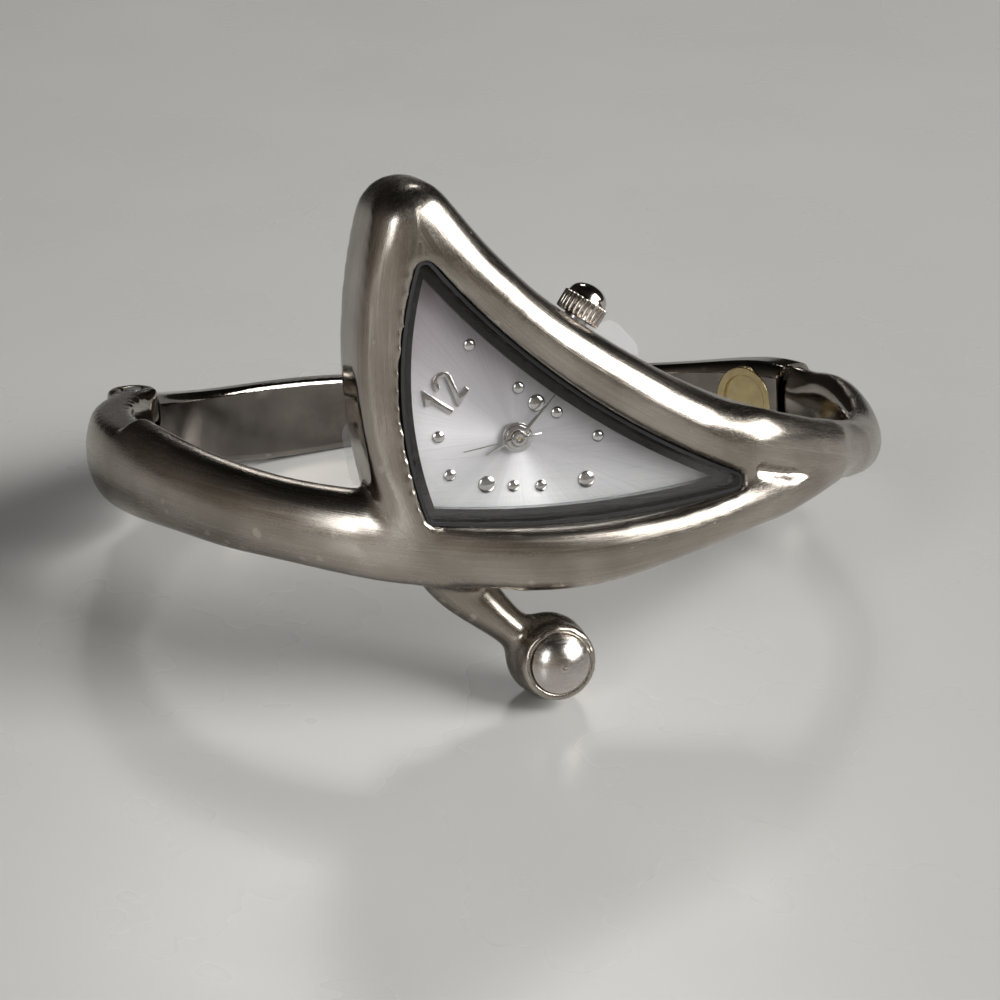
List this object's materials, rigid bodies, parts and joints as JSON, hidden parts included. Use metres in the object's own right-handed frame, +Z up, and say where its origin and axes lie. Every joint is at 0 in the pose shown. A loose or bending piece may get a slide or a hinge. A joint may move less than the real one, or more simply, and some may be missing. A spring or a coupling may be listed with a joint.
{
  "type": "bangle wristwatch",
  "caption": "Hinged oval bangle wristwatch with a sail-shaped cast case, three-cornered crystal, dotted dial, fluted crown and a sprung push catch.",
  "frame": {"origin": "middle of the footprint box, on the surface that the watch lies on", "axes": "+Z up from that surface, -Y towards the dial's viewer, +X to the catch; the band's own axis is tipped back by the curled arm"},
  "size_m": [0.0672, 0.0572, 0.0411],
  "materials": {
    "cast_metal": "antiqued, brushed along the arms",
    "band_metal": "antiqued, polished inside",
    "stud_metal": "brushed dome",
    "crystal": "clear, flat, polished",
    "black_rubber": "matte black",
    "ring_metal": "dark polished",
    "dial_silver": "silvered, sunray brushed",
    "mark_silver": "polished",
    "holder_plastic": "moulded",
    "plate_brass": "fine brushed",
    "wheel_brass": "polished",
    "steel": "polished",
    "copper_wire": "enamelled wire",
    "cell_steel": "satin",
    "board_plastic": "coated",
    "chip_black": "potted",
    "crown_nickel": "polished nickel",
    "film_clear": "clear film",
    "cup_brass": "polished"
  },
  "bodies": {
    "case": {"front_casting": "cast_metal", "end_stud": "stud_metal", "crystal": "crystal", "crystal_gasket": "black_rubber", "dial_ring": "ring_metal", "dial": "dial_silver", "hour_dots": "mark_silver", "numeral_12": "mark_silver", "movement_holder": "holder_plastic", "main_plate": "plate_brass", "train_bridge": "plate_brass", "stator": "steel", "coil_core": "steel", "coil": "copper_wire", "battery": "cell_steel", "battery_strap": "steel", "circuit_board": "board_plastic", "chip": "chip_black", "oscillator": "cell_steel", "movement_screws": "steel", "crown_tube": "steel", "case_back": "band_metal", "case_back_gasket": "black_rubber", "back_screws": "steel", "back_film": "film_clear", "hinge_pin": "steel", "catch_tongue": "steel"},
    "rear": {"rear_band": "band_metal", "spring_cup": "cup_brass", "button_spring": "steel"},
    "button": {"catch_button": "stud_metal"},
    "clutch": {"sliding_pinion": "steel"},
    "crown_unit": {"stem": "steel", "crown": "crown_nickel", "crown_gasket": "black_rubber"},
    "lever": {"setting_lever": "steel"},
    "seconds": {"second_wheel": "wheel_brass", "second_hand": "mark_silver"},
    "minutes": {"centre_wheel": "wheel_brass", "minute_hand": "mark_silver"},
    "hours": {"hour_wheel": "wheel_brass", "hour_hand": "mark_silver"},
    "third": {"third_wheel": "wheel_brass"},
    "step": {"step_wheel": "wheel_brass"},
    "rotor": {"rotor": "steel"},
    "minute_work": {"minute_wheel": "wheel_brass"},
    "setting_work": {"setting_wheel": "steel"}
  },
  "joints": [
    {"name": "rear_band_hinge", "type": "hinge", "parent": "case", "child": "rear", "pos_m": [-0.02733, 0.01402, 0.00756], "axis": [-0.0051, 0.2096, 0.9778], "range_deg": [0, 45], "deforming": ["catch_tongue"]},
    {"name": "catch_push", "type": "slide", "parent": "rear", "child": "button", "axis": [-0.8605, -0.4991, 0.1025], "range_m": [0, 0.0004], "stiffness_N_per_m": 1000, "deforming": ["button_spring", "catch_tongue"]},
    {"name": "crown_turn", "type": "hinge", "parent": "case", "child": "clutch", "pos_m": [-0.00302, -0.01841, 0.02383], "axis": [0.5694, 0.1717, 0.8039], "continuous": true},
    {"name": "crown_pull", "type": "slide", "parent": "clutch", "child": "crown_unit", "axis": [0.5694, 0.1717, 0.8039], "range_m": [0, 0.0008]},
    {"name": "lever_swing", "type": "hinge", "parent": "case", "child": "lever", "pos_m": [-0.00094, -0.01837, 0.02402], "axis": [0.0011, 0.9778, -0.2096], "range_deg": [0, 30]},
    {"name": "seconds_turn", "type": "hinge", "parent": "case", "child": "seconds", "pos_m": [-0.0053, -0.01962, 0.02072], "axis": [0.0011, 0.9778, -0.2096], "continuous": true},
    {"name": "minutes_turn", "type": "hinge", "parent": "case", "child": "minutes", "pos_m": [-0.0053, -0.01962, 0.02072], "axis": [0.0011, 0.9778, -0.2096], "continuous": true},
    {"name": "hours_turn", "type": "hinge", "parent": "case", "child": "hours", "pos_m": [-0.0053, -0.01962, 0.02072], "axis": [0.0011, 0.9778, -0.2096], "continuous": true},
    {"name": "third_turn", "type": "hinge", "parent": "case", "child": "third", "pos_m": [-0.00259, -0.01957, 0.02097], "axis": [0.0011, 0.9778, -0.2096], "continuous": true},
    {"name": "step_turn", "type": "hinge", "parent": "case", "child": "step", "pos_m": [-0.00765, -0.01996, 0.01909], "axis": [0.0011, 0.9778, -0.2096], "continuous": true},
    {"name": "rotor_turn", "type": "hinge", "parent": "case", "child": "rotor", "pos_m": [-0.00964, -0.01955, 0.02102], "axis": [0.0011, 0.9778, -0.2096], "continuous": true},
    {"name": "minute_wheel_turn", "type": "hinge", "parent": "case", "child": "minute_work", "pos_m": [-0.00493, -0.0192, 0.02264], "axis": [0.0011, 0.9778, -0.2096], "continuous": true},
    {"name": "setting_wheel_turn", "type": "hinge", "parent": "case", "child": "setting_work", "pos_m": [-0.00297, -0.01896, 0.02381], "axis": [0.0011, 0.9778, -0.2096], "continuous": true}
  ],
  "couplings": [
    {"joint": "step_turn", "follows": "seconds_turn", "ratio": -5},
    {"joint": "rotor_turn", "follows": "seconds_turn", "ratio": 30},
    {"joint": "third_turn", "follows": "seconds_turn", "ratio": -0.13333},
    {"joint": "minutes_turn", "follows": "seconds_turn", "ratio": 0.016667},
    {"joint": "minute_wheel_turn", "follows": "seconds_turn", "ratio": -0.0055556},
    {"joint": "hours_turn", "follows": "seconds_turn", "ratio": 0.0013889},
    {"joint": "setting_wheel_turn", "follows": "seconds_turn", "ratio": 0.010417},
    {"joint": "lever_swing", "follows": "crown_pull", "rad_per_m": 654.43}
  ]
}
